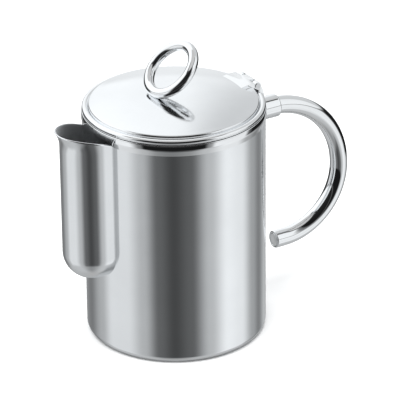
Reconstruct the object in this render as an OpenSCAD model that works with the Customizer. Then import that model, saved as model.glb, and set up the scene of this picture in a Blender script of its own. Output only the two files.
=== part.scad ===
// Coffee pot with a hinged lid, a pouch spout over a strainer, and an open C handle.
// Millimetres. Z is up, the handle is on +X and the spout on -X. The origin is the
// middle of the base, on the surface that the pot stands on.

/* [Body] */
// Outer radius of the straight wall
body_r = 55; // [40:0.5:75]
// Sheet thickness of the wall and the floor
wall_t = 1.0; // [0.6:0.1:2]
// Height where the wall ends and the rim ring begins
wall_top = 137.9; // [100:0.1:180]
// Radius of the rounded bottom edge
foot_fillet = 4; // [2:0.5:8]
// Thickness of the heat spreading base disc
base_t = 3.2; // [2:0.1:5]
// Radius of the base disc
base_r = 48; // [30:0.5:60]
// Height of the raised rim ring
rim_h = 6.7; // [4:0.1:9]
// How far the rim ring stands proud of the wall
rim_out = 0.62; // [0.3:0.02:0.7]
// Diameter of one strainer hole
hole_d = 3.2; // [2:0.1:4]
// Rows of strainer holes
hole_rows = 8; // [4:1:8]

/* [Spout] */
// Outer half width of the pouch
spout_hw = 18; // [12:0.5:20]
// Distance from the pot axis to the centre of the rounded nose
nose_x = 58; // [56:0.5:66]
// Height of the lowest point of the pouch
spout_bottom = 48; // [30:1:60]
// Height of the pouch's rounded bottom
bowl_h = 17; // [8:1:20]
// Height where the lip starts to flare
flare_z = 134.5; // [130:0.5:138]
// How far the lip flares outward at its tip
flare_out = 4; // [1:0.1:5]

/* [Lid] */
// Height of the middle of the dome
dome_top = 155.5; // [150:0.1:165]
// Radius of curvature of the dome
dome_curve = 200; // [120:1:300]
// Thickness of the dome sheet
dome_t = 0.9; // [0.6:0.1:1.5]
// Outer radius of the dome edge
dome_r = 51.1; // [45:0.1:53]
// Outer radius of the rim bead
bead_r = 55.1; // [54:0.1:57]
// Outer radius of the collar that centres the lid in the mouth
collar_r = 53; // [50:0.1:53.4]
// Depth of the collar below the bead
collar_h = 7.4; // [4:0.1:15]

/* [Knob] */
// Mean radius of the ring
ring_r = 16.5; // [12:0.1:22]
// Radius of the ring's round bar
ring_bar = 3.2; // [2:0.1:5]
// Tilt of the ring's axis toward the spout
ring_tilt = 44; // [20:1:70]

/* [Hinge] */
// Distance from the pot axis to the hinge pin
pin_x = 53.4; // [53.4:0.1:56]
// Height of the hinge pin
pin_z = 149; // [146:0.1:155]
// Radius of the hinge pin
pin_r = 1.25; // [1:0.05:2]
// Radius of the knuckles
knuckle_r = 2.5; // [2:0.1:2.5]
// Half width of the leaf on the lid
leaf_hw = 10.5; // [9:0.5:12]
// Half width of the bracket on the pot
bracket_hw = 9.4; // [8:0.1:12]
// Half width of the lid's knuckle
lid_knuckle = 4.2; // [2:0.1:5]
// Distance from the middle to each bracket knuckle
pot_knuckle = 6.2; // [5.5:0.1:7.5]
// Distance from the pot axis to the leaf's inner edge
leaf_x = 40.8; // [36:0.1:45]

/* [Handle] */
// Height of the socket axis
socket_z = 128.4; // [110:0.1:130]
// Outer radius of the socket
socket_r = 7.2; // [6:0.1:10]
// Distance from the pot axis to the end of the socket
socket_end = 72.6; // [68:0.1:85]
// Outer radius of the handle tube
tube_r = 5.55; // [5.2:0.05:6]
// Bore radius of the handle tube
tube_bore = 4.3; // [3:0.1:5]
// Radius of the handle's upper bend, to the middle of the tube
bend_r = 51; // [45:0.5:60]
// Radius of the handle's lower bend
low_bend_r = 40.8; // [30:0.1:45]
// Distance from the pot axis to the centre of the upper bend
bend_x = 68; // [60:0.5:72]
// Distance from the pot axis to the handle's free end
handle_end = 71; // [64:0.5:78]

/* [Hidden] */
$fn = 96;
inner_r = body_r - wall_t;
rim_top = wall_top + rim_h;
lid_gap = 0.3;
bead_low = rim_top + lid_gap;
clear_r = knuckle_r + 0.35;
socket_bottom = 58;
ring_z = 169.4;
ring_x = -1.5;
seat_x = ring_x - ring_r * cos(ring_tilt);
seat_z = dome_z(abs(seat_x));
seat_lean = asin(seat_x / dome_curve);
edge_z = dome_z(dome_r - 1.2) - 1.2;
bead_gap = leaf_hw + 5.5;
ring_cut = body_r + rim_out + 0.03;
pouch_top = 150;
lip_r = 90;
lip_x = -86.2;
lip_z = 55.85;
low_x = bend_x + bend_r - low_bend_r;
bend_z = socket_z - bend_r;
tail_z = bend_z - low_bend_r;
polish = [0.86, 0.87, 0.88];
satin = [0.70, 0.71, 0.72];

function dome_z(r) = dome_top - dome_curve + sqrt(dome_curve * dome_curve - r * r);
function arc(cx, cz, rx, rz, a, b, n) =
    [for (i = [0 : n]) [cx + rx * cos(a + (b - a) * i / n), cz + rz * sin(a + (b - a) * i / n)]];
function flare(z) = z <= flare_z ? 0 : flare_out * pow((z - flare_z) / 11.2, 2);

// The drawn cup: a straight wall, a rounded bottom edge and a floor over the base disc.
module body_profile() {
    fx = body_r - foot_fillet;
    floor_z = base_t + wall_t;
    polygon(concat(
        [[0, base_t], [base_r + 0.2, base_t], [base_r + 0.2, 0.4]],
        arc(fx, 0.4 + foot_fillet, foot_fillet, foot_fillet, -90, 0, 12),
        [[body_r, wall_top], [inner_r, wall_top]],
        arc(fx, floor_z + foot_fillet - wall_t, foot_fillet - wall_t, foot_fillet - wall_t, 0, -90, 8),
        [[0, floor_z]]));
}

// Strainer holes lie behind the pouch, in straight rows of five.
module strainer_holes() {
    for (row = [0 : hole_rows - 1], col = [-2 : 2])
        rotate([0, 0, 180 + 5.3 * col])
            translate([inner_r - 3, 0, 72 + 8 * row])
                rotate([0, 90, 0])
                    cylinder(d = hole_d, h = 8, $fn = 24);
}

module body_shell() {
    color(polish) difference() {
        rotate_extrude($fn = 180) body_profile();
        strainer_holes();
    }
}

// A sandwich disc under the floor, with a small chamfer on its lower edge.
module base_disc() {
    color(satin) rotate_extrude($fn = 180)
        polygon([[0, 0], [base_r - 0.6, 0], [base_r, 0.6], [base_r, base_t], [0, base_t]]);
}

// The ring on top of the wall: it leans out from the wall, then rounds in again to the mouth.
module rim_ring() {
    belt = wall_top + 3.2;
    color(polish) rotate_extrude($fn = 180)
        polygon(concat([[inner_r, wall_top], [body_r + 0.05, wall_top]],
            arc(body_r + rim_out - 0.67, belt, 0.67, rim_top - belt, 0, 90, 12),
            [[inner_r, rim_top]]));
}

// The pouch as a solid: a flat sided box with a round nose and bottom, g inside the outer face.
module pouch_block(g) {
    half = spout_hw - g;
    side = concat(arc(0, spout_bottom + bowl_h, half, bowl_h - g, -90, 0, 18),
        [[half, pouch_top + g], [0, pouch_top + g]]);
    translate([-nose_x, 0, 0]) rotate([0, 0, 90])
        rotate_extrude(angle = 180, $fn = 96) polygon(side);
    translate([-nose_x, 0, 0]) rotate([90, 0, 90]) linear_extrude(26) {
        polygon(side);
        mirror([1, 0, 0]) polygon(side);
    }
    lip_nose(g);
}

// The lip flares round an axis nearer the tip, so it reaches out most at the front.
module lip_nose(g) {
    r = spout_hw - 5.1 - g;
    translate([-nose_x - 5, 0, 0]) rotate_extrude($fn = 96)
        polygon(concat([[0, flare_z - 6], [r, flare_z - 6]],
            [for (i = [0 : 10]) [r + flare(flare_z + i * (pouch_top - flare_z) / 10),
                flare_z + i * (pouch_top - flare_z) / 10]],
            [[r + flare(pouch_top), pouch_top + g], [0, pouch_top + g]]));
}

// The pouch is soldered to the wall. A long curve cuts its edge, so it rises to the lip.
module spout_pouch() {
    color(polish) intersection() {
        difference() {
            pouch_block(0);
            pouch_block(wall_t);
            cylinder(r = body_r, h = 200, $fn = 180);
            translate([0, 0, wall_top]) cylinder(r = ring_cut, h = 60, $fn = 180);
        }
        translate([lip_x, 0, lip_z]) rotate([90, 0, 0])
            cylinder(r = lip_r, h = 80, center = true, $fn = 180);
    }
}

// A short cup that stands straight out of the wall and holds the handle tube.
module handle_socket() {
    color(polish) difference() {
        translate([0, 0, socket_z]) rotate([0, 90, 0]) rotate_extrude()
            polygon(concat([[0, 50], [socket_r, 50]],
                arc(socket_r - 1.2, socket_end - 1.2, 1.2, 1.2, 0, 90, 8),
                [[0, socket_end]]));
        cylinder(r = body_r, h = 200, $fn = 180);
        handle_bar(tube_r);
    }
}

// A round bar of radius r along the handle: straight, two quarter bends, straight.
module handle_bar(r) {
    translate([socket_bottom, 0, socket_z]) rotate([0, 90, 0])
        cylinder(r = r, h = bend_x - socket_bottom);
    translate([bend_x, 0, bend_z]) rotate([90, 0, 0])
        rotate_extrude(angle = 90, $fn = 144) translate([bend_r, 0]) circle(r = r);
    translate([low_x, 0, bend_z]) rotate([90, 0, 0]) rotate([0, 0, -90])
        rotate_extrude(angle = 90, $fn = 144) translate([low_bend_r, 0]) circle(r = r);
    translate([handle_end, 0, tail_z]) rotate([0, 90, 0])
        cylinder(r = r, h = low_x - handle_end);
}

module handle_tube() {
    color(polish) difference() {
        handle_bar(tube_r);
        handle_bar(tube_bore);
    }
}

// A flat plug that closes the free end of the tube.
module handle_end_plug() {
    color(polish) translate([handle_end, 0, tail_z]) rotate([0, 90, 0])
        cylinder(r = tube_bore, h = 3);
}

// A cylinder round the hinge axis, from y = a to y = b.
module along_pin(r, a, b) {
    translate([pin_x, b, pin_z]) rotate([90, 0, 0]) cylinder(r = r, h = b - a);
}

// The fixed hinge part: two knuckles on a web that runs down the wall to the socket.
module hinge_bracket() {
    w = bracket_hw;
    color(polish) difference() {
        intersection() {
            translate([0, w, 0]) rotate([90, 0, 0]) linear_extrude(2 * w)
                polygon(concat(
                    arc(pin_x, pin_z, knuckle_r, knuckle_r, 210, 0, 24),
                    [[56.4, 147.6], [57.3, 145.4], [58.1, 142.6], [59.2, 139], [59.4, 133.4],
                     [54, 133.4], [54, 146]]));
            rotate([90, 0, 90]) linear_extrude(70)
                polygon([[-7, 130], [7, 130], [7, 136], [w, 144], [w, 155],
                    [-w, 155], [-w, 144], [-7, 136]]);
        }
        along_pin(clear_r, -pot_knuckle, pot_knuckle);
        along_pin(pin_r, -12, 12);
        cylinder(r = body_r, h = wall_top + 0.1, $fn = 180);
        translate([0, 0, wall_top]) cylinder(r = ring_cut, h = rim_h, $fn = 180);
        translate([0, 0, socket_z]) rotate([0, 90, 0]) cylinder(r = socket_r, h = 70);
        translate([40, -pot_knuckle, 144.6]) cube([pin_x - 40, 2 * pot_knuckle, 8]);
    }
}

// The pin, with peened ends.
module hinge_pin() {
    color(satin) {
        along_pin(pin_r, -bracket_hw - 0.3, bracket_hw + 0.3);
        along_pin(1.7, bracket_hw, bracket_hw + 0.4);
        along_pin(1.7, -bracket_hw - 0.4, -bracket_hw);
    }
}

// The solid under the dome's outer face, used to seat parts on the lid.
module dome_solid() {
    rotate_extrude($fn = 180) polygon(concat([[0, 140]], dome_edge(0),
        [for (r = [48 : -4 : 0]) [r, dome_z(r)]]));
}

// The dome's edge, from the skirt up to the start of the dome, g inside the outer face.
function dome_edge(g) = concat([[dome_r - g, bead_low]],
    arc(dome_r - 1.2, edge_z, 1.2 - g, 1.2 - g, 0, 80, 6));

// The moving hinge part: a bevelled plate on the dome and one knuckle on the pin.
module hinge_leaf() {
    color(polish) difference() {
        union() {
            translate([0, leaf_hw, 0]) rotate([90, 0, 0]) linear_extrude(2 * leaf_hw)
                polygon([[leaf_x, 147.8], [leaf_x, 150.95], [46, 151.9], [51, 151.9],
                    [pin_x, pin_z + knuckle_r], [pin_x, 147.8]]);
            along_pin(knuckle_r, -lid_knuckle, lid_knuckle);
        }
        along_pin(pin_r + 0.06, -12, 12);
        for (a = [-14, lid_knuckle])
            translate([pin_x - 3.2, a, 146]) cube([8, 14 - lid_knuckle, 7]);
        dome_solid();
    }
}

module lid_dome() {
    color(polish) difference() {
        rotate_extrude($fn = 180) polygon(concat(
            dome_edge(0),
            [for (r = [48 : -4 : 0]) [r, dome_z(r)]],
            [for (r = [0 : 4 : 48]) [r, dome_z(r) - dome_t]],
            arc(dome_r - 1.2, edge_z, 0.3, 0.3, 80, 0, 3),
            [[dome_r - dome_t, bead_low]]));
        at_seat() translate([0, 0, -3]) cylinder(r = 1.6, h = 6, $fn = 32);
    }
}

// The half round bead outside the dome. It stops on each side of the hinge.
module lid_bead() {
    color(polish) difference() {
        rotate_extrude($fn = 180) polygon(concat(
            [[dome_r, bead_low], [bead_r - 0.5, bead_low]],
            arc((dome_r + bead_r) / 2, bead_low + 1.2, (bead_r - dome_r) / 2, 1.6, 0, 180, 16)));
        translate([45, -bead_gap, 140]) cube([20, 2 * bead_gap, 12]);
    }
}

module lid_collar() {
    color(satin) rotate_extrude($fn = 180)
        translate([collar_r - 1, bead_low - collar_h]) square([1, collar_h]);
}

// The place on the dome where the ring stands, with Z along the dome's normal.
module at_seat() {
    translate([seat_x, 0, seat_z]) rotate([0, seat_lean, 0]) children();
}

module knob_ring() {
    color(polish) difference() {
        translate([ring_x, 0, ring_z]) rotate([0, -ring_tilt, 0])
            rotate_extrude($fn = 144) translate([ring_r, 0]) circle(r = ring_bar, $fn = 48);
        dome_solid();
        at_seat() cylinder(r = 1.5, h = 3.4, $fn = 32);
    }
}

// The screw comes up through the lid into the ring.
module knob_screw() {
    color(satin) at_seat() {
        translate([0, 0, -3.4]) cylinder(r = 3, h = 1.6, $fn = 48);
        translate([0, 0, -2]) cylinder(r = 1.5, h = 5.2, $fn = 32);
    }
}

module knob_washer() {
    color(satin) at_seat() translate([0, 0, -1.8]) difference() {
        cylinder(r = 4, h = 0.8, $fn = 48);
        translate([0, 0, -1]) cylinder(r = 1.6, h = 3, $fn = 32);
    }
}

body_shell();
base_disc();
rim_ring();
spout_pouch();
handle_socket();
handle_tube();
handle_end_plug();
hinge_bracket();
hinge_pin();
hinge_leaf();
lid_dome();
lid_bead();
lid_collar();
knob_ring();
knob_screw();
knob_washer();
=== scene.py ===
import math

import bmesh
import bpy
from mathutils import Matrix, Vector


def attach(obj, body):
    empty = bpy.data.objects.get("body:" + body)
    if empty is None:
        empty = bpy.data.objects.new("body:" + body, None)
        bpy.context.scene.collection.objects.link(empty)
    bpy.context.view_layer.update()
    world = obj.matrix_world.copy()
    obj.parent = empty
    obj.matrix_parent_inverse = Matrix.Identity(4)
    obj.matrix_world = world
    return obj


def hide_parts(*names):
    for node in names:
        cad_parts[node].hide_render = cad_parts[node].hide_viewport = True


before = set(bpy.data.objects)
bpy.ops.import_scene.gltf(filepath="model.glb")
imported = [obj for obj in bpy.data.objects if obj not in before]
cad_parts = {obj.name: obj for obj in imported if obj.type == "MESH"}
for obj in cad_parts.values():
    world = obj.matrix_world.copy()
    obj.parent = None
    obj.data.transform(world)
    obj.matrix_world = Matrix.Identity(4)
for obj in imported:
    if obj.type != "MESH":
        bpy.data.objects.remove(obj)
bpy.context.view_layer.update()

MM = 0.001

# Sizes in millimetres, as in the CAD design.
BODY_R, WALL_T, WALL_TOP, RIM_H, RIM_OUT = 55.0, 1.0, 137.9, 6.7, 0.62
FOOT_FILLET, BASE_T, BASE_R = 4.0, 3.2, 48.0
RIM_TOP = WALL_TOP + RIM_H
BEAD_LOW = RIM_TOP + 0.3
SPOUT_HW, NOSE_X, SPOUT_BOTTOM, BOWL_H = 18.0, 58.0, 48.0, 17.0
HOLE_R, HOLE_ROWS, HOLE_LOW, HOLE_STEP, HOLE_TURN = 1.6, 8, 72.0, 8.0, 5.3
FLARE_Z, FLARE_RISE, FLARE_OUT = 134.5, 11.2, 3.8
LIP_R, LIP_X, LIP_Z = 90.0, -86.2, 55.85
DOME_TOP, DOME_CURVE, DOME_T, DOME_R, BEAD_R = 155.5, 200.0, 0.9, 51.1, 55.1
COLLAR_R, COLLAR_H = 53.0, 7.4
RING_R, RING_BAR, RING_TILT, RING_X, RING_Z = 16.5, 3.2, 44.0, -1.5, 169.4
SOCKET_Z, SOCKET_R, SOCKET_END, SOCKET_BOTTOM = 128.4, 7.2, 72.6, 58.0
TUBE_R, TUBE_BORE, BEND_R, LOW_BEND_R, BEND_X, HANDLE_END = 5.55, 4.3, 51.0, 40.8, 68.0, 71.0
BEAD_GAP = 16.0

# The camera, in degrees, metres and a lens in millimetres.
CAMERA_TURN, CAMERA_PITCH, CAMERA_YAW, CAMERA_ROLL = 30.7, 26.2, 0.511, -0.55
CAMERA_BACK, CAMERA_HEIGHT, LENS, SENSOR = 1.700, 0.919, 281.61, 36.0


# ---------------------------------------------------------------- mesh helpers

def dome_z(r):
    return DOME_TOP - DOME_CURVE + math.sqrt(DOME_CURVE * DOME_CURVE - r * r)


def arc(cx, cz, rx, rz, a, b, n):
    """Points along an ellipse from angle a to angle b, in degrees."""
    out = []
    for i in range(n + 1):
        t = math.radians(a + (b - a) * i / n)
        out.append((cx + rx * math.cos(t), cz + rz * math.sin(t)))
    return out


def supported(points, closed=False):
    """Drops repeated points and adds a support point near each end of a long side."""
    keep = []
    for p in points:
        if not keep or math.dist(p, keep[-1]) > 1e-4:
            keep.append(p)
    if closed and math.dist(keep[0], keep[-1]) < 1e-4:
        keep.pop()
    out = []
    n = len(keep)
    for i in range(n if closed else n - 1):
        a, b = keep[i], keep[(i + 1) % n]
        out.append(a)
        d = math.dist(a, b)
        if d > 1.5:
            for f in (0.3 / d, 1 - 0.3 / d):
                out.append((a[0] + (b[0] - a[0]) * f, a[1] + (b[1] - a[1]) * f))
    if not closed:
        out.append(keep[-1])
    return out


def to_metres(bm):
    for v in bm.verts:
        v.co *= MM


def to_object(name, bm):
    """Puts a bmesh into the scene as an object."""
    mesh = bpy.data.meshes.new(name)
    bm.to_mesh(mesh)
    bm.free()
    made = bpy.data.objects.new(name, mesh)
    bpy.context.scene.collection.objects.link(made)
    return made


def new_piece(bm, body, node, material, smooth_deg):
    """Makes the piece that stands for a CAD node, from a bmesh in millimetres: no doubled
    points, outward facing, and smooth shaded where faces meet at less than smooth_deg."""
    bmesh.ops.remove_doubles(bm, verts=bm.verts, dist=0.002)
    bmesh.ops.recalc_face_normals(bm, faces=bm.faces)
    for f in bm.faces:
        f.smooth = True
    for e in bm.edges:
        if len(e.link_faces) == 2:
            e.smooth = e.calc_face_angle(0) < math.radians(smooth_deg)
    to_metres(bm)
    piece = to_object(node + "_v", bm)
    piece.data.materials.append(material)
    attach(piece, body)
    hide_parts(node)
    return piece


def grid_faces(bm, rows, wrap_u=False, wrap_v=False):
    """Quads between rows of vertices. rows[i][j] is a BMVert."""
    nu, nv = len(rows), len(rows[0])
    for i in range(nu if wrap_u else nu - 1):
        for j in range(nv if wrap_v else nv - 1):
            quad = [rows[i][j], rows[(i + 1) % nu][j],
                    rows[(i + 1) % nu][(j + 1) % nv], rows[i][(j + 1) % nv]]
            seen = []
            for v in quad:
                if v not in seen:
                    seen.append(v)
            if len(seen) > 2:
                bm.faces.new(seen)


def revolve(profile, steps=288, closed=True, gap_y=None, transform=None):
    """A ring or disc of revolution about Z. gap_y leaves out the slice |y| < gap_y on +X."""
    bm = bmesh.new()
    pts = supported(profile, closed)
    rows = []
    for k in range(steps + (1 if gap_y else 0)):
        row = []
        for r, z in pts:
            if gap_y:
                a0 = math.asin(gap_y / r)
                a = a0 + (2 * math.pi - 2 * a0) * k / steps
            else:
                a = 2 * math.pi * k / steps
            row.append(bm.verts.new((r * math.cos(a), r * math.sin(a), z)))
        rows.append(row)
    grid_faces(bm, rows, wrap_u=not gap_y, wrap_v=closed)
    if gap_y:
        bm.faces.new(rows[0])
        bm.faces.new(rows[-1])
    if transform:
        bmesh.ops.transform(bm, matrix=transform, verts=bm.verts)
    return bm


def loft(rings):
    """A closed round bar through rings of (point, frame, radius), with flat ends."""
    bm = bmesh.new()
    turns = [2 * math.pi * i / 64 for i in range(64)]
    rows = [[bm.verts.new(point + (u * math.cos(t) + v * math.sin(t)) * r) for t in turns]
            for point, (u, v), r in rings]
    grid_faces(bm, rows, wrap_v=True)
    bm.faces.new(rows[0])
    bm.faces.new(rows[-1])
    return bm


# ------------------------------------------------------------------- materials

def noise(nt, vector, scale, detail, roughness=0.5):
    node = nt.nodes.new("ShaderNodeTexNoise")
    node.inputs["Scale"].default_value = scale
    node.inputs["Detail"].default_value = detail
    node.inputs["Roughness"].default_value = roughness
    nt.links.new(vector, node.inputs["Vector"])
    return node.outputs["Fac"]


def ring_vector(nt, vector):
    """The distance from the Z axis as X, so that a texture runs in rings round it."""
    flat = nt.nodes.new("ShaderNodeVectorMath")
    flat.operation = "MULTIPLY"
    flat.inputs[1].default_value = (1, 1, 0)
    nt.links.new(vector, flat.inputs[0])
    radial = nt.nodes.new("ShaderNodeVectorMath")
    radial.operation = "LENGTH"
    nt.links.new(flat.outputs["Vector"], radial.inputs[0])
    ring = nt.nodes.new("ShaderNodeCombineXYZ")
    nt.links.new(radial.outputs["Value"], ring.inputs["X"])
    return ring.outputs["Vector"]


def add_tone(nt, bsdf, vector, color):
    """A slow change of tone, 3 percent each way."""
    shade = nt.nodes.new("ShaderNodeValToRGB")
    dark, pale = shade.color_ramp.elements
    dark.position, pale.position = 0.3, 0.7
    dark.color = (*[c * 0.97 for c in color], 1)
    pale.color = (*[min(1, c * 1.03) for c in color], 1)
    nt.links.new(noise(nt, vector, 28.0, 4.0), shade.inputs["Fac"])
    nt.links.new(shade.outputs["Color"], bsdf.inputs["Base Color"])


def add_polish(nt, bsdf, vector, rough, rough_var):
    """Roughness from rough to rough + rough_var, as wiping leaves it."""
    polish = nt.nodes.new("ShaderNodeMapRange")
    polish.inputs["From Min"].default_value = 0.3
    polish.inputs["From Max"].default_value = 0.75
    polish.inputs["To Min"].default_value = rough
    polish.inputs["To Max"].default_value = rough + rough_var
    nt.links.new(noise(nt, vector, 75.0, 7.0, 0.6), polish.inputs["Value"])
    nt.links.new(polish.outputs["Result"], bsdf.inputs["Roughness"])


def add_marks(nt, bsdf, vector, strength, scale, turned):
    """Faint relief: rings round the axis on turned metal, otherwise long fine scratches."""
    stretch = nt.nodes.new("ShaderNodeMapping")
    if turned:
        vector = ring_vector(nt, vector)
        stretch.inputs["Scale"].default_value = (3.0, 1.0, 1.0)
    else:
        stretch.inputs["Scale"].default_value = (1.0, 1.0, 0.08)
        stretch.inputs["Rotation"].default_value = (0.35, 0.2, 0.5)
    nt.links.new(vector, stretch.inputs["Vector"])
    relief = nt.nodes.new("ShaderNodeBump")
    relief.inputs["Strength"].default_value = strength
    relief.inputs["Distance"].default_value = 0.00005
    nt.links.new(noise(nt, stretch.outputs["Vector"], scale, 3.0), relief.inputs["Height"])
    nt.links.new(relief.outputs["Normal"], bsdf.inputs["Normal"])


def metal(name, color, rough, rough_var, bump, scratch_scale=900.0, turned=False):
    """A metal with uneven polish, faint marks and a slow change of tone."""
    mat = bpy.data.materials.new(name)
    mat.use_nodes = True
    nt = mat.node_tree
    bsdf = nt.nodes["Principled BSDF"]
    bsdf.inputs["Metallic"].default_value = 1.0
    vector = nt.nodes.new("ShaderNodeTexCoord").outputs["Object"]
    add_tone(nt, bsdf, vector, color)
    add_polish(nt, bsdf, vector, rough, rough_var)
    add_marks(nt, bsdf, vector, bump, scratch_scale, turned)
    return mat


plate = metal("plate_body", (0.90, 0.915, 0.93), 0.07, 0.05, 0.03)
mirror = metal("plate_mirror", (0.93, 0.94, 0.95), 0.025, 0.035, 0.02)
satin = metal("satin_turned", (0.72, 0.73, 0.74), 0.26, 0.10, 0.35, 1400.0, turned=True)
# Rougher than the plate, and darker in colour: the darker colour is painted shade for the inside of
# the pouch.
inside = metal("plate_inside_painted_shade", (0.78, 0.79, 0.80), 0.46, 0.10, 0.10)
bright = metal("bright_pin", (0.70, 0.71, 0.72), 0.16, 0.10, 0.12)


# ------------------------------------------------------------------- the pot

def strainer_tool():
    """Short rods through the wall, five to a row, that cut the strainer holes."""
    bm = bmesh.new()
    for row in range(HOLE_ROWS):
        for col in range(-2, 3):
            turn = Matrix.Rotation(math.radians(180 + HOLE_TURN * col), 4, "Z")
            reach = Matrix.Translation((BODY_R - WALL_T / 2, 0, HOLE_LOW + HOLE_STEP * row))
            bmesh.ops.create_cone(bm, cap_ends=True, segments=28, radius1=HOLE_R, radius2=HOLE_R,
                                  depth=4, matrix=turn @ reach @ Matrix.Rotation(math.pi / 2, 4, "Y"))
    to_metres(bm)
    return to_object("tool", bm)


def body_profile():
    fx = BODY_R - FOOT_FILLET
    floor = BASE_T + WALL_T
    inner = FOOT_FILLET - WALL_T
    return ([(0.0, BASE_T), (BASE_R + 0.2, BASE_T), (BASE_R + 0.2, 0.6)]
            + arc(BASE_R + 0.5, 0.7, 0.3, 0.3, 180, 270, 4)
            + arc(fx, 0.4 + FOOT_FILLET, FOOT_FILLET, FOOT_FILLET, -90, 0, 20)
            + [(BODY_R, WALL_TOP), (BODY_R - WALL_T, WALL_TOP)]
            + arc(fx, floor + inner, inner, inner, 0, -90, 12)
            + [(0.0, floor)])


def straighten_wall(mesh):
    """Exact normals on the straight wall, so that the holes leave no dents in the reflections."""
    above_foot, top = 0.0085, WALL_TOP * MM + 0.0001
    normals = []
    for poly in mesh.polygons:
        side = poly.normal.dot(Vector((poly.center.x, poly.center.y, 0)).normalized())
        sign = 1 if side > 0 else -1
        for li in poly.loop_indices:
            v = mesh.vertices[mesh.loops[li].vertex_index].co
            r = math.hypot(v.x, v.y)
            if abs(side) > 0.97 and above_foot < v.z < top:
                normals.append((sign * v.x / r, sign * v.y / r, 0))
            else:
                normals.append((0, 0, 0))
    mesh.normals_split_custom_set(normals)


def build_body():
    piece = new_piece(revolve(body_profile(), 320, closed=False), "pot", "body_shell",
                      plate, 50)
    tool = strainer_tool()
    cut = piece.modifiers.new("holes", "BOOLEAN")
    cut.object = tool
    cut.solver = "EXACT"
    bpy.context.view_layer.update()
    solved = piece.evaluated_get(bpy.context.evaluated_depsgraph_get())
    mesh = bpy.data.meshes.new_from_object(solved)
    piece.modifiers.clear()
    piece.data = mesh
    bpy.data.objects.remove(tool)
    straighten_wall(mesh)


def build_rim():
    """The rim leans out from the wall to a belt, then rounds in to the mouth."""
    belt, lean = WALL_TOP + 3.2, 0.67
    prof = ([(BODY_R - WALL_T, WALL_TOP), (BODY_R + 0.05, WALL_TOP)]
            + arc(BODY_R + RIM_OUT - lean, belt, lean, RIM_TOP - belt, 0, 90, 24)
            + arc(BODY_R - WALL_T + 0.4, RIM_TOP - 0.4, 0.4, 0.4, 90, 180, 5))
    new_piece(revolve(prof, 320), "pot", "rim_ring", mirror, 30)


def build_base():
    prof = [(0.0, 0.0), (BASE_R - 0.6, 0.0), (BASE_R - 0.25, 0.12), (BASE_R, 0.6),
            (BASE_R, BASE_T), (0.0, BASE_T)]
    new_piece(revolve(prof, 256, closed=False), "pot", "base_disc", satin, 30)


def flare(z):
    """How far the lip reaches out at height z."""
    return 0.0 if z <= FLARE_Z else FLARE_OUT * ((z - FLARE_Z) / FLARE_RISE) ** 2


def lip_z(x):
    """The height of the pouch's top edge at x."""
    return LIP_Z + math.sqrt(LIP_R ** 2 - (x - LIP_X) ** 2)


def pouch_point(kind, sign, t, half, z):
    """A point on the pouch at height z, where its half width is half."""
    if kind == "nose":
        a = math.radians(t)
        return Vector((-NOSE_X - (half + flare(z)) * math.cos(a), half * math.sin(a), z))
    wall = -math.sqrt((BODY_R - 0.05) ** 2 - half * half)
    return Vector((wall + (-NOSE_X - wall) * t, sign * half, z))


def pouch_wall(station, inset):
    """Points up one side of the sheet, from the bottom of the pouch to just under the lip."""
    half = SPOUT_HW - inset
    top = 143.0
    for _ in range(40):
        top = 0.5 * top + 0.5 * lip_z(pouch_point(*station, half, top).x)
    top -= 0.4
    low = SPOUT_BOTTOM + BOWL_H
    points = [(half * math.cos(math.radians(e)), low + (BOWL_H - inset) * math.sin(math.radians(e)))
              for e in [-90 + 90 * i / 28 for i in range(29)]]
    points += [(half, z) for z in (65.5, 75, 90, 105, 120, 130)]
    points += [(half, 133 + (top - 133) * i / 14) for i in range(15)]
    return [pouch_point(*station, w, z) for w, z in points]


def build_spout():
    """The pouch: a round nosed sheet with a rounded bottom and a flared, rounded lip."""
    side_n, nose_n = 10, 72
    stations = [("side", -1, i / side_n) for i in range(side_n)]
    stations += [("nose", 0, -90 + 180 * i / nose_n) for i in range(nose_n + 1)]
    stations += [("side", 1, 1 - i / side_n) for i in range(1, side_n + 1)]
    bm = bmesh.new()
    rows = []
    for station in stations:
        outer, inner = pouch_wall(station, 0.0), pouch_wall(station, WALL_T)
        mid, half = (outer[-1] + inner[-1]) / 2, (outer[-1] - inner[-1]) / 2
        lip = [mid + half * math.cos(math.pi * i / 6) + Vector((0, 0, 0.4 * math.sin(math.pi * i / 6)))
               for i in range(1, 6)]
        rows.append([bm.verts.new(p) for p in outer + lip + inner[::-1]])
    grid_faces(bm, rows)
    for end in (rows[0], rows[-1]):
        for j in range(len(end) // 2):
            quad = (end[j], end[j + 1], end[-2 - j], end[-1 - j])
            if len(set(quad)) == 4:
                bm.faces.new(quad)
    piece = new_piece(bm, "pot", "spout_pouch", plate, 50)
    # The faces that look into the pouch get a duller, rougher unpolished finish, and a darker base
    # colour that is painted shade of the pouch's hollow.
    piece.data.materials.append(inside)
    low, nose = (SPOUT_BOTTOM + BOWL_H) * MM, -NOSE_X * MM
    for poly in piece.data.polygons:
        c = poly.center
        outward = Vector((min(c.x - nose, 0.0), c.y, min(c.z - low, 0.0)))
        poly.material_index = 1 if poly.normal.dot(outward) < 0 and poly.normal.z < 0.9 else 0


def bend_sag(x):
    """How far the tube's middle has dropped below the socket axis at x."""
    return 0.0 if x < BEND_X else BEND_R - math.sqrt(BEND_R ** 2 - (x - BEND_X) ** 2)


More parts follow.
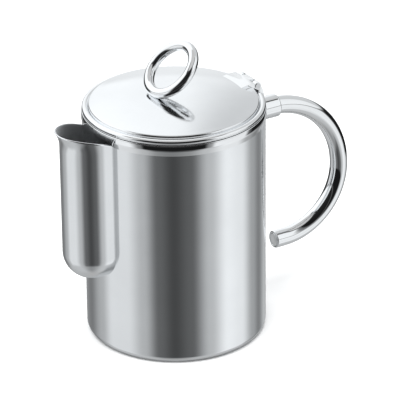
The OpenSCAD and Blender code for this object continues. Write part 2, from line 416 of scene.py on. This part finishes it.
def build_socket():
    bore = TUBE_R + 0.05
    prof = ([(0.0, 54.3), (SOCKET_R, 54.3)]
            + arc(SOCKET_R - 1.2, SOCKET_END - 1.2, 1.2, 1.2, 0, 84, 10)
            + [(bore + 0.1, SOCKET_END - 0.02), (bore, SOCKET_END - 0.15)]
            + [(bore, x) for x in (71.5, 70.5, 69.4, BEND_X, SOCKET_BOTTOM)]
            + [(0.0, SOCKET_BOTTOM)])
    turn = Matrix.Translation((0, 0, SOCKET_Z)) @ Matrix.Rotation(math.pi / 2, 4, "Y")
    bm = revolve(prof, 128, closed=False, transform=turn)
    for v in bm.verts:
        if math.hypot(v.co.y, v.co.z - SOCKET_Z) < bore + 0.02:
            v.co.z -= bend_sag(v.co.x)
    new_piece(bm, "pot", "handle_socket", mirror, 40)


def handle_path():
    """(point, frame) along the middle of the tube, from inside the socket to the free end."""
    path = []
    across, top = Vector((0, 1, 0)), Vector((0, 0, 1))
    bend_z = SOCKET_Z - BEND_R

    def add_bend(middle_x, radius, angles):
        for a in angles:
            out = Vector((math.cos(math.radians(a)), 0, math.sin(math.radians(a))))
            path.append((Vector((middle_x, 0, bend_z)) + out * radius, (across, out)))

    for x in (SOCKET_BOTTOM + 0.2, 60.0, 64.0, 67.0):
        path.append((Vector((x, 0, SOCKET_Z)), (across, top)))
    add_bend(BEND_X, BEND_R, [90 - 90 * i / 72 for i in range(73)])
    add_bend(BEND_X + BEND_R - LOW_BEND_R, LOW_BEND_R, [-90 * i / 64 for i in range(1, 65)])
    for x in (77.0, 74.5, 72.5, HANDLE_END):
        path.append((Vector((x, 0, bend_z - LOW_BEND_R)), (across, -top)))
    return path


def build_handle():
    path = handle_path()
    end, frame_at_end = path[-1]

    def at_end(steps):
        """Rings near the free end, from (distance back from it, radius)."""
        return [(end + Vector((1, 0, 0)) * back, frame_at_end, r) for back, r in steps]

    tube = [(point, turned, TUBE_R) for point, turned in path[:-1]]
    tube += at_end([(0.9, TUBE_R), (0.5, TUBE_R), (0.32, TUBE_R - 0.03), (0.17, TUBE_R - 0.1),
                    (0.06, TUBE_R - 0.22), (0.0, TUBE_R - 0.4), (0.0, TUBE_BORE + 0.25),
                    (0.08, TUBE_BORE + 0.08), (0.25, TUBE_BORE), (3.0, TUBE_BORE)])
    new_piece(loft(tube), "pot", "handle_tube", mirror, 50)
    plug = at_end([(2.8, TUBE_BORE - 0.04), (0.5, TUBE_BORE - 0.04), (0.2, TUBE_BORE - 0.06),
                   (0.06, TUBE_BORE - 0.16), (0.0, TUBE_BORE - 0.4), (0.12, 2.4), (0.2, 0.8)])
    new_piece(loft(plug), "pot", "handle_end_plug", mirror, 50)


# ------------------------------------------------------------------- the lid

def build_dome():
    """A thin dome that turns down at its edge, round outside and inside."""
    edge_r, bend = DOME_R - 1.2, 1.2
    edge_z = dome_z(edge_r) - bend
    radii = [48 * (1 - i / 40) for i in range(41)]
    prof = ([(DOME_R, BEAD_LOW)] + arc(edge_r, edge_z, bend, bend, 0, 80, 12)
            + [(r, dome_z(r)) for r in radii]
            + [(r, dome_z(r) - DOME_T) for r in reversed(radii)]
            + arc(edge_r, edge_z, bend - DOME_T, bend - DOME_T, 80, 0, 5)
            + [(DOME_R - DOME_T, BEAD_LOW)])
    new_piece(revolve(prof, 320), "lid", "lid_dome", plate, 50)


def build_bead():
    prof = ([(DOME_R, BEAD_LOW), (BEAD_R - 0.5, BEAD_LOW)]
            + arc((DOME_R + BEAD_R) / 2, BEAD_LOW + 1.2, (BEAD_R - DOME_R) / 2, 1.6, 0, 180, 28))
    new_piece(revolve(prof, 320, gap_y=BEAD_GAP), "lid", "lid_bead", mirror, 50)


def build_collar():
    low = BEAD_LOW - COLLAR_H
    prof = ([(COLLAR_R, BEAD_LOW), (COLLAR_R, low + 0.3)]
            + arc(COLLAR_R - 0.3, low + 0.3, 0.3, 0.3, 0, -90, 4)
            + arc(COLLAR_R - 0.7, low + 0.3, 0.3, 0.3, -90, -180, 4)
            + [(COLLAR_R - 1, BEAD_LOW)])
    new_piece(revolve(prof, 256), "lid", "lid_collar", satin, 40)


def seat_matrix():
    """From the dome's surface under the ring, square to it, to the pot's own axes."""
    x = RING_X - RING_R * math.cos(math.radians(RING_TILT))
    return (Matrix.Translation((x, 0, dome_z(abs(x))))
            @ Matrix.Rotation(math.asin(x / DOME_CURVE), 4, "Y"))


def build_ring():
    prof = arc(RING_R, 0, RING_BAR, RING_BAR, 0, 360, 64)
    place = (Matrix.Translation((RING_X, 0, RING_Z))
             @ Matrix.Rotation(math.radians(-RING_TILT), 4, "Y"))
    new_piece(revolve(prof, 224, transform=place), "lid", "knob_ring", mirror, 180)


def build_screw():
    seat = seat_matrix()
    prof = ([(0.0, 3.0), (1.5, 3.0), (1.5, -1.8), (2.9, -1.8), (3.0, -1.95)]
            + arc(2.4, -2.7, 0.6, 0.65, 0, -90, 6) + [(1.2, -3.38), (0.0, -3.4)])
    new_piece(revolve(prof, 64, closed=False, transform=seat), "lid", "knob_screw",
              bright, 35)
    prof = [(1.6, -1.8), (3.85, -1.8), (4.0, -1.65), (4.0, -1.15), (3.85, -1.0), (1.6, -1.0)]
    new_piece(revolve(prof, 64, transform=seat), "lid", "knob_washer", bright, 30)


# ------------------------------------------------------------------- the hinge

def softened(node, body, material, width):
    """The CAD node's own shape with its flat faces merged and its sharp edges eased."""
    bm = bmesh.new()
    bm.from_mesh(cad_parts[node].data)
    for v in bm.verts:
        v.co /= MM
    bmesh.ops.remove_doubles(bm, verts=bm.verts, dist=0.003)
    bmesh.ops.dissolve_limit(bm, angle_limit=math.radians(0.6), verts=bm.verts, edges=bm.edges)
    sharp = [e for e in bm.edges if len(e.link_faces) == 2
             and e.calc_face_angle(0) > math.radians(40) and e.calc_length() > 0.5]
    bmesh.ops.bevel(bm, geom=sharp, offset=width, segments=3, profile=0.5, affect="EDGES",
                    clamp_overlap=True)
    new_piece(bm, body, node, material, 32)


build_body()
build_rim()
build_base()
build_spout()
build_socket()
build_handle()
build_dome()
build_bead()
build_collar()
build_ring()
build_screw()
softened("hinge_bracket", "pot", mirror, 0.22)
softened("hinge_leaf", "lid", mirror, 0.22)
softened("hinge_pin", "pot", bright, 0.12)


# ------------------------------------------------------------------- studio

def ramp(nt, stops, factor):
    """A ring of grey values round the pot. Each stop is an angle from the camera's side, in
    degrees with the right side positive, and a brightness."""
    node = nt.nodes.new("ShaderNodeValToRGB")
    node.color_ramp.interpolation = "EASE"
    els = node.color_ramp.elements
    els.remove(els[-1])
    for i, (deg, value) in enumerate(stops):
        pos = (deg + 180.0) / 360.0
        el = els[0] if i == 0 else els.new(pos)
        el.position = pos
        el.color = (value * 0.98, value, value * 1.012, 1)
    nt.links.new(factor, node.inputs["Fac"])
    return node.outputs["Color"]


def math_node(nt, op, a, b=None):
    node = nt.nodes.new("ShaderNodeMath")
    node.operation = op
    for i, x in enumerate((a, b)):
        if isinstance(x, (int, float)):
            node.inputs[i].default_value = x
        elif x is not None:
            nt.links.new(x, node.inputs[i])
    return node.outputs[0]


def blend(nt, factor, a, b):
    """Mixes two colours, each a socket or a plain grey value."""
    node = nt.nodes.new("ShaderNodeMix")
    node.data_type = "RGBA"
    nt.links.new(factor, node.inputs[0])
    for socket, x in ((node.inputs[6], a), (node.inputs[7], b)):
        if isinstance(x, (int, float)):
            socket.default_value = (x, x, x, 1)
        else:
            nt.links.new(x, socket)
    return node.outputs[2]


def band(nt, height, low, high):
    """0 below the elevation low and 1 above high, both in degrees."""
    node = nt.nodes.new("ShaderNodeMapRange")
    node.interpolation_type = "SMOOTHSTEP"
    node.inputs["From Min"].default_value = low
    node.inputs["From Max"].default_value = high
    nt.links.new(height, node.inputs["Value"])
    return node.outputs["Result"]


def build_world():
    """Soft studio light: pale all round, with the dark and pale cards that polished metal shows."""
    world = bpy.data.worlds.new("studio")
    bpy.context.scene.world = world
    world.use_nodes = True
    nt = world.node_tree
    background = nt.nodes["Background"]
    coord = nt.nodes.new("ShaderNodeTexCoord")
    split = nt.nodes.new("ShaderNodeSeparateXYZ")
    nt.links.new(coord.outputs["Generated"], split.inputs["Vector"])
    x, y, z = split.outputs
    degrees = math_node(nt, "MULTIPLY", math_node(nt, "ARCTAN2", y, x), 180 / math.pi)
    turned = math_node(nt, "ADD", degrees, 90.0 + CAMERA_TURN + 180.0 + 360.0)
    fac = math_node(nt, "DIVIDE", math_node(nt, "MODULO", turned, 360.0), 360.0)
    height = math_node(nt, "MULTIPLY", math_node(nt, "ARCSINE", z), 180 / math.pi)

    floor_ring = ramp(nt, [(-180, 0.45), (-60, 0.55), (-5, 0.28), (55, 0.55), (180, 0.45)], fac)
    table_ring = ramp(nt, [(-180, 0.35), (-140, 0.20), (-110, 0.45), (-90, 0.76), (-65, 0.76),
                           (-42, 0.48), (-22, 0.13), (-2, 0.065), (20, 0.12), (45, 0.52),
                           (70, 0.92), (92, 0.84), (115, 0.38), (132, 0.22), (155, 0.50),
                           (180, 0.35)], fac)
    level_ring = ramp(nt, [(-180, 0.90), (-156, 0.60), (-146, 0.04), (-114, 0.04), (-104, 0.80),
                           (-56, 0.90), (-42, 0.20), (-36, 0.01), (36, 0.01), (44, 0.30),
                           (52, 0.90), (94, 0.85), (103, 0.10), (110, 0.01), (150, 0.01),
                           (160, 0.50), (180, 0.90)], fac)
    high_ring = ramp(nt, [(-180, 1.02), (-150, 1.12), (-110, 1.12), (-62, 0.95), (-50, 0.20),
                          (-44, 0.02), (38, 0.01), (46, 0.20), (58, 0.95), (108, 0.90),
                          (122, 0.62), (165, 0.66), (180, 1.02)], fac)
    under = blend(nt, band(nt, height, -88.0, -58.0), 0.45, floor_ring)
    low = blend(nt, band(nt, height, -50.0, -38.0), under, table_ring)
    mid = blend(nt, band(nt, height, -23.6, -20.4), low, level_ring)
    up = blend(nt, band(nt, height, 6.0, 12.0), mid, high_ring)
    lit = blend(nt, band(nt, height, 57.0, 62.0), up, 0.58)
    # The dark edge of the overhead softbox, and the far edge of the table, on the open side.
    front = ramp(nt, [(-180, 0.0), (-112, 0.0), (-100, 1.0), (104, 1.0), (116, 0.0),
                      (180, 0.0)], fac)
    edge = math_node(nt, "SUBTRACT", band(nt, height, 54.0, 57.0), band(nt, height, 61.0, 64.0))
    hem = math_node(nt, "SUBTRACT", band(nt, height, 3.0, 5.0), band(nt, height, 7.0, 9.0))
    lit = blend(nt, math_node(nt, "MULTIPLY", edge, front), lit, 0.05)
    faint = math_node(nt, "MULTIPLY", front, 0.75)
    full = blend(nt, math_node(nt, "MULTIPLY", hem, faint), lit, 0.12)

    # The camera sees a plain white backdrop behind the floor.
    path = nt.nodes.new("ShaderNodeLightPath")
    nt.links.new(blend(nt, path.outputs["Is Camera Ray"], full, 1.0), background.inputs["Color"])
    background.inputs["Strength"].default_value = 1.0


def build_floor():
    bm = bmesh.new()
    bmesh.ops.create_grid(bm, x_segments=1, y_segments=1, size=6.0)
    floor = to_object("floor", bm)
    mat = bpy.data.materials.new("floor_paper")
    mat.use_nodes = True
    bsdf = mat.node_tree.nodes["Principled BSDF"]
    bsdf.inputs["Base Color"].default_value = (0.93, 0.93, 0.93, 1)
    bsdf.inputs["Roughness"].default_value = 1.0
    bsdf.inputs["Specular IOR Level"].default_value = 0.0
    floor.data.materials.append(mat)
    # Polished metal shows the studio, not the sheet of paper right under it.
    floor.visible_glossy = False


def build_light():
    data = bpy.data.lights.new("softbox", "AREA")
    data.shape = "DISK"
    data.size = 2.4
    data.energy = 80.0
    lamp = bpy.data.objects.new("softbox", data)
    lamp.location = (-0.4, -0.3, 2.2)
    aim = Vector((0, 0, 0.05)) - lamp.location
    lamp.rotation_euler = aim.to_track_quat("-Z", "Y").to_euler()
    lamp.visible_glossy = False
    bpy.context.scene.collection.objects.link(lamp)


def build_camera():
    """In front of the pot, turned off its spout-handle plane by CAMERA_TURN, and looking down."""
    turn = math.radians(CAMERA_TURN)
    right0 = Vector((math.cos(turn), -math.sin(turn), 0))
    away0 = Vector((math.sin(turn), math.cos(turn), 0))
    pitch, yaw, roll = (math.radians(a) for a in (CAMERA_PITCH, CAMERA_YAW, CAMERA_ROLL))
    level = right0 * math.sin(yaw) + away0 * math.cos(yaw)
    forward = level * math.cos(pitch) - Vector((0, 0, math.sin(pitch)))
    right = right0 * math.cos(yaw) - away0 * math.sin(yaw)
    up = right.cross(forward)
    r2 = right * math.cos(roll) + up * math.sin(roll)
    u2 = up * math.cos(roll) - right * math.sin(roll)
    data = bpy.data.cameras.new("camera")
    data.sensor_width = SENSOR
    data.lens = LENS
    data.clip_end = 50.0
    cam = bpy.data.objects.new("camera", data)
    m = Matrix((r2, u2, -forward)).transposed().to_4x4()
    m.translation = away0 * -CAMERA_BACK + Vector((0, 0, CAMERA_HEIGHT))
    cam.matrix_world = m
    bpy.context.scene.collection.objects.link(cam)
    bpy.context.scene.camera = cam


build_world()
build_floor()
build_light()
build_camera()

view = bpy.context.scene.view_settings
view.view_transform = "Standard"
view.look = "None"

bpy.context.view_layer.update()
